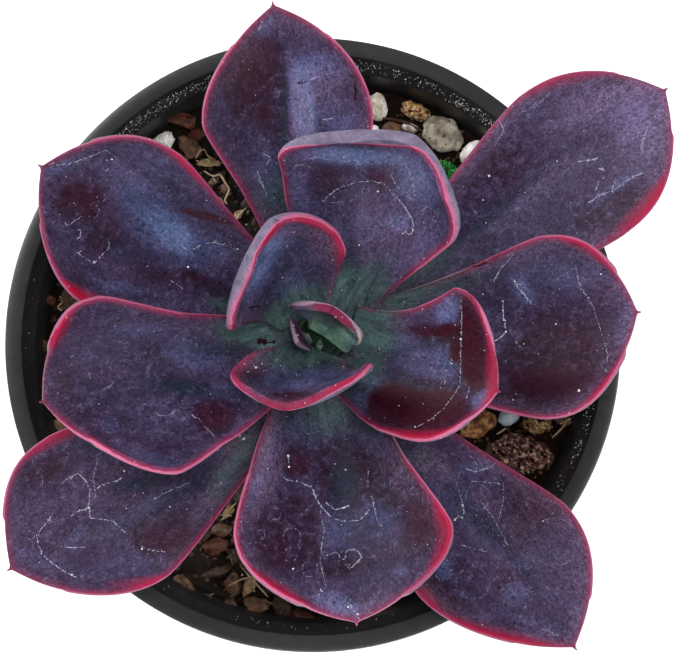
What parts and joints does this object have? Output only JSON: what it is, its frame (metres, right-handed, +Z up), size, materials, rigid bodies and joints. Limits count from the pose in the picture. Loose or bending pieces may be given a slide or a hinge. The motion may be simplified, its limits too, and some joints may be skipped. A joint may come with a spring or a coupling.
{
  "type": "potted succulent plant",
  "caption": "Succulent rosette of thick, pointed plum leaves with crimson margins on a short stem in bark mix with stones, in a round tapered plastic nursery pot.",
  "frame": {"origin": "middle of the flat pad under the pot's floor, in the plane of its foot ring", "axes": "+Z up along the pot's axis; +Y towards the top of the picture and +X towards its right"},
  "size_m": [0.0967, 0.0932, 0.106],
  "materials": {
    "pot_plastic": "satin",
    "bark_mix": "matte",
    "stem_skin": "matte",
    "leaf_skin": "satin",
    "heart_skin": "satin",
    "white_stone": "matte",
    "grey_stone": "matte",
    "golden_stone": "matte",
    "lava_stone": "matte",
    "moss": "matte"
  },
  "bodies": {
    "root": {"pot": "pot_plastic", "soil": "bark_mix", "stem": "stem_skin", "leaf_01": "leaf_skin", "leaf_02": "leaf_skin", "leaf_03": "leaf_skin", "leaf_04": "leaf_skin", "leaf_05": "leaf_skin", "leaf_06": "leaf_skin", "leaf_07": "leaf_skin", "leaf_08": "leaf_skin", "leaf_09": "leaf_skin", "leaf_10": "leaf_skin", "leaf_11": "leaf_skin", "leaf_12": "leaf_skin", "heart_leaf_01": "heart_skin", "heart_leaf_02": "heart_skin", "heart_leaf_03": "heart_skin", "pumice_chip": "white_stone", "beige_pebble": "white_stone", "white_chip": "white_stone", "tan_chip": "golden_stone", "grit_pebble": "grey_stone", "grey_pebble": "grey_stone", "white_pebble": "white_stone", "moss_tuft": "moss", "pale_pebble": "white_stone", "rust_chip": "golden_stone", "golden_chip": "golden_stone", "lava_rock": "lava_stone", "slate_pebble": "grey_stone", "sand_pebble": "white_stone"}
  },
  "joints": []
}
